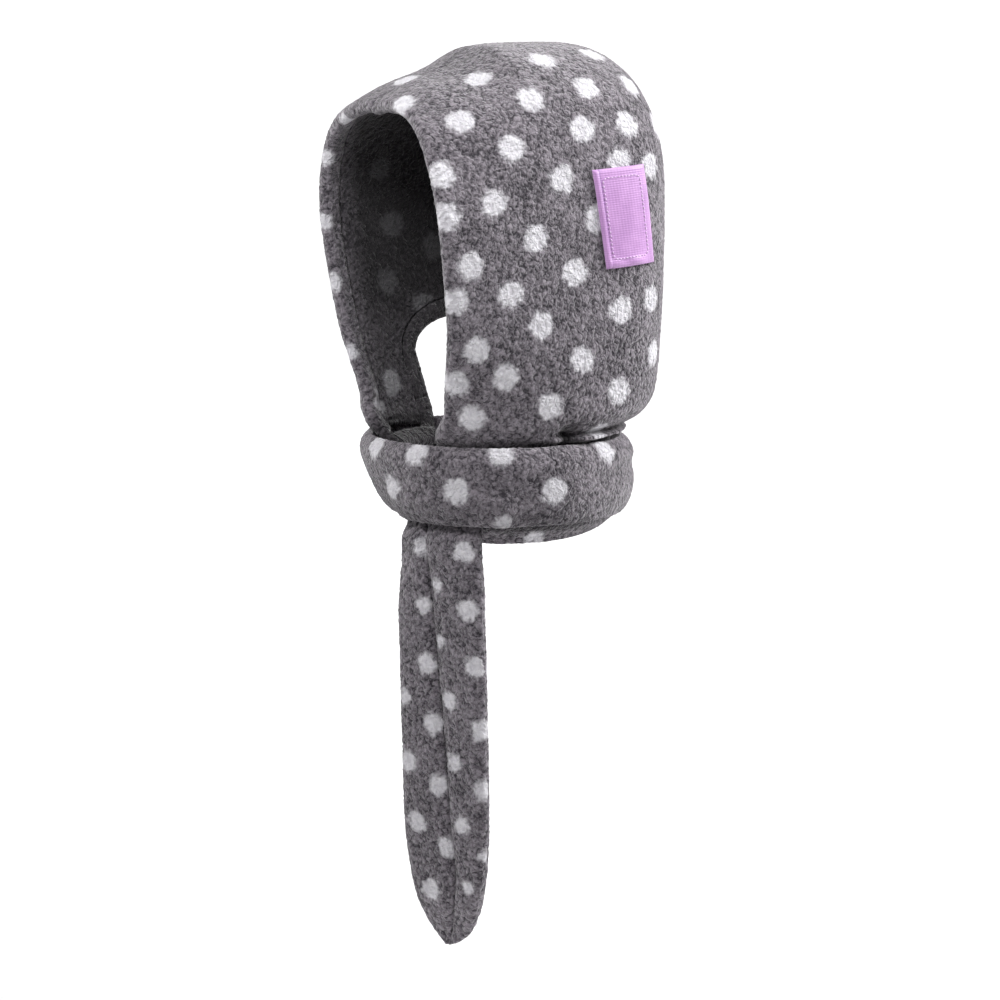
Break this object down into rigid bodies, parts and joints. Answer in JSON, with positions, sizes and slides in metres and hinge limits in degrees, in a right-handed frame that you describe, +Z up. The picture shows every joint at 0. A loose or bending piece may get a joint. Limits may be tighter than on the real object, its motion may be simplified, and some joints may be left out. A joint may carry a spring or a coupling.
{
  "type": "baby hooded scarf hat",
  "caption": "Child's dotted fleece hood with a rolled face edge, a lining, two turns of scarf round the neck, one long hanging end with a pointed tip and a woven side label.",
  "frame": {"origin": "the inside of the crown, where it rests on the head", "axes": "+Z up, -Y out of the face opening, +X toward the wearer's left, the side of the woven label"},
  "size_m": [0.1665, 0.1783, 0.526],
  "materials": {
    "hood_fleece": "matte deep-pile fleece, warm dark grey with pale grey dots",
    "lining_fleece": "matte deep-pile fleece, warm dark grey with pale grey dots",
    "scarf_fleece": "matte deep-pile fleece, warm dark grey with pale grey dots",
    "woven_label": "smooth satin weave, lilac"
  },
  "bodies": {
    "root": {"hood_shell": "hood_fleece", "hood_lining": "lining_fleece", "outer_wrap": "scarf_fleece", "under_wrap": "scarf_fleece", "tail_front_panel": "scarf_fleece", "tail_side_panel": "scarf_fleece", "woven_label": "woven_label"}
  },
  "joints": []
}
